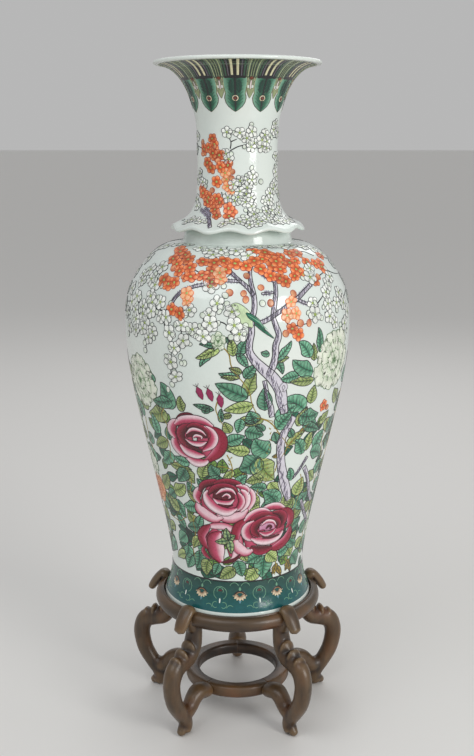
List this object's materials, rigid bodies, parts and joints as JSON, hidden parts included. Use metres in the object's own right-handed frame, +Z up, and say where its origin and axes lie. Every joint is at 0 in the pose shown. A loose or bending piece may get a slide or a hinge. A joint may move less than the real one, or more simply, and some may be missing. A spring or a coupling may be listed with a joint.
{
  "type": "porcelain floor vase on a carved wooden stand",
  "caption": "Tall porcelain floor vase with a flared mouth, a ruffled collar and a flared foot, standing in a round carved hardwood stand with curved legs.",
  "frame": {"origin": "on the floor, on the vase's axis", "axes": "+Z up along the vase's axis; the front is towards -Y, with two legs facing it and the fifth leg at the back; +X to the right"},
  "size_m": [0.3926, 0.396, 1.139],
  "materials": {
    "porcelain": "glossy pale celadon-white glaze with overglaze enamel painting",
    "hardwood": "worn dark brown lacquered hardwood, lighter on the edges",
    "dowel_wood": "plain unfinished hardwood"
  },
  "bodies": {
    "stand": {"seat_board": "hardwood", "leg_1": "hardwood", "apron_1": "hardwood", "lower_ring_1": "hardwood", "leg_2": "hardwood", "apron_2": "hardwood", "lower_ring_2": "hardwood", "leg_3": "hardwood", "apron_3": "hardwood", "lower_ring_3": "hardwood", "leg_4": "hardwood", "apron_4": "hardwood", "lower_ring_4": "hardwood", "leg_5": "hardwood", "apron_5": "hardwood", "lower_ring_5": "hardwood", "apron_dowel_1a": "dowel_wood", "apron_dowel_1b": "dowel_wood", "ring_dowel_1a": "dowel_wood", "ring_dowel_1b": "dowel_wood", "apron_dowel_2a": "dowel_wood", "apron_dowel_2b": "dowel_wood", "ring_dowel_2a": "dowel_wood", "ring_dowel_2b": "dowel_wood", "apron_dowel_3a": "dowel_wood", "apron_dowel_3b": "dowel_wood", "ring_dowel_3a": "dowel_wood", "ring_dowel_3b": "dowel_wood", "apron_dowel_4a": "dowel_wood", "apron_dowel_4b": "dowel_wood", "ring_dowel_4a": "dowel_wood", "ring_dowel_4b": "dowel_wood", "apron_dowel_5a": "dowel_wood", "apron_dowel_5b": "dowel_wood", "ring_dowel_5a": "dowel_wood", "ring_dowel_5b": "dowel_wood"},
    "vase": {"vase_foot": "porcelain", "vase_floor": "porcelain", "vase_belly": "porcelain", "vase_upper_belly": "porcelain", "vase_shoulder": "porcelain", "vase_neck": "porcelain", "vase_mouth": "porcelain", "vase_collar": "porcelain"}
  },
  "joints": [
    {"name": "vase_lift", "type": "slide", "parent": "stand", "child": "vase", "axis": [0, 0, 1], "range_m": [0, 0.2]}
  ]
}
